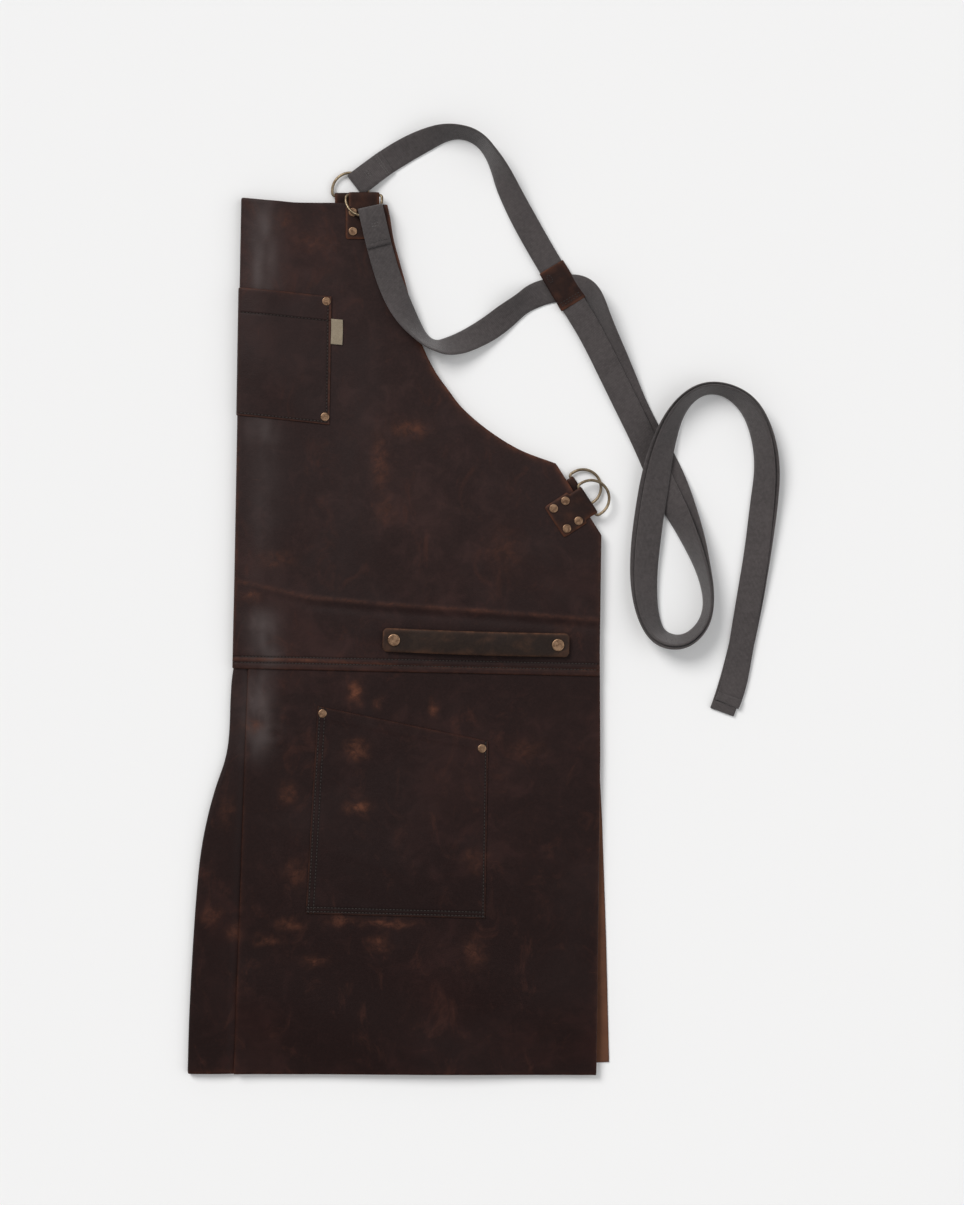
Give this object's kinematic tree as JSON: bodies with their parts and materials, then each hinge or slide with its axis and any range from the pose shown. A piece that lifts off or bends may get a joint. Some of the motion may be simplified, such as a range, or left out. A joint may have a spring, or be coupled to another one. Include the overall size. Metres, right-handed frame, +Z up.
{
  "type": "leather butcher apron",
  "caption": "Split-leg leather apron folded lengthwise, with riveted tabs and D-rings, patch pockets, a towel loop and cross-back webbing straps held by a leather keeper.",
  "frame": {"origin": "on the surface that the apron lies on, just below the waist seam, midway between the fold and the side edge", "axes": "+X from the fold to the side edge, +Y from the hem to the bib, +Z up from the surface"},
  "size_m": [0.5926, 0.9558, 0.0202],
  "materials": {
    "leather": "waxed pull-up leather, satin, worn lighter and redder at edges and folds",
    "pocket_leather": "waxed pull-up leather, satin",
    "tab_leather": "waxed leather with raw reddish edges",
    "ring_brass": "antique brass, lightly worn",
    "rivet_copper": "antique copper, domed",
    "stud_brass": "antique brass, domed",
    "webbing": "matt dark grey cotton webbing with a fine weave",
    "label_cloth": "matt woven beige tape, blank"
  },
  "bodies": {
    "apron": {"bib_panel": "leather", "leg_panel_front": "leather", "leg_panel_back": "leather", "chest_pocket": "pocket_leather", "leg_pocket": "pocket_leather", "chest_tab_front": "tab_leather", "chest_tab_back": "tab_leather", "side_tab_front": "tab_leather", "side_tab_back": "tab_leather", "towel_loop_anchor": "tab_leather", "rivets_chest_tab_front": "rivet_copper", "rivets_chest_tab_back": "rivet_copper", "rivets_side_tab_front": "rivet_copper", "rivets_side_tab_back": "rivet_copper", "rivets_chest_pocket": "rivet_copper", "rivets_chest_pocket_back": "rivet_copper", "rivets_leg_pocket": "rivet_copper", "stud_cap_left": "stud_brass", "stud_socket_left": "stud_brass", "towel_studs": "stud_brass", "strap_a": "webbing", "strap_b": "webbing", "strap_a_hem": "webbing", "strap_b_hem": "webbing", "woven_label": "label_cloth"},
    "side_ring_front": {"side_ring_front": "ring_brass"},
    "side_ring_back": {"side_ring_back": "ring_brass"},
    "chest_ring_front": {"chest_ring_front": "ring_brass", "strap_b_sewn_end": "webbing"},
    "chest_ring_back": {"chest_ring_back": "ring_brass", "strap_a_sewn_end": "webbing"},
    "towel_loop": {"towel_loop_strap": "tab_leather", "stud_cap_right": "stud_brass", "stud_socket_right": "stud_brass"},
    "strap_keeper": {"strap_keeper": "tab_leather"}
  },
  "joints": [
    {"name": "side_ring_front_swing", "type": "hinge", "parent": "apron", "child": "side_ring_front", "pos_m": [0.171, 0.189, 0.0096], "axis": [0.549, -0.8358, 0], "range_deg": [0, 150]},
    {"name": "side_ring_back_swing", "type": "hinge", "parent": "apron", "child": "side_ring_back", "pos_m": [0.163, 0.2, 0.0036], "axis": [0.549, -0.8358, 0], "range_deg": [0, 8]},
    {"name": "chest_ring_front_swing", "type": "hinge", "parent": "apron", "child": "chest_ring_front", "pos_m": [-0.052, 0.495, 0.0096], "axis": [-1, 0, 0], "range_deg": [0, 30]},
    {"name": "chest_ring_back_swing", "type": "hinge", "parent": "apron", "child": "chest_ring_back", "pos_m": [-0.066, 0.495, 0.0036], "axis": [1, 0, 0], "range_deg": [0, 30]},
    {"name": "towel_loop_open", "type": "hinge", "parent": "apron", "child": "towel_loop", "pos_m": [-0.00982, 0.04963, 0.0154], "axis": [-0.0305, -0.9995, 0], "range_deg": [0, 60]},
    {"name": "keeper_slide", "type": "slide", "parent": "apron", "child": "strap_keeper", "axis": [0.5158, -0.8567, 0], "range_m": [-0.006, 0.006]}
  ]
}
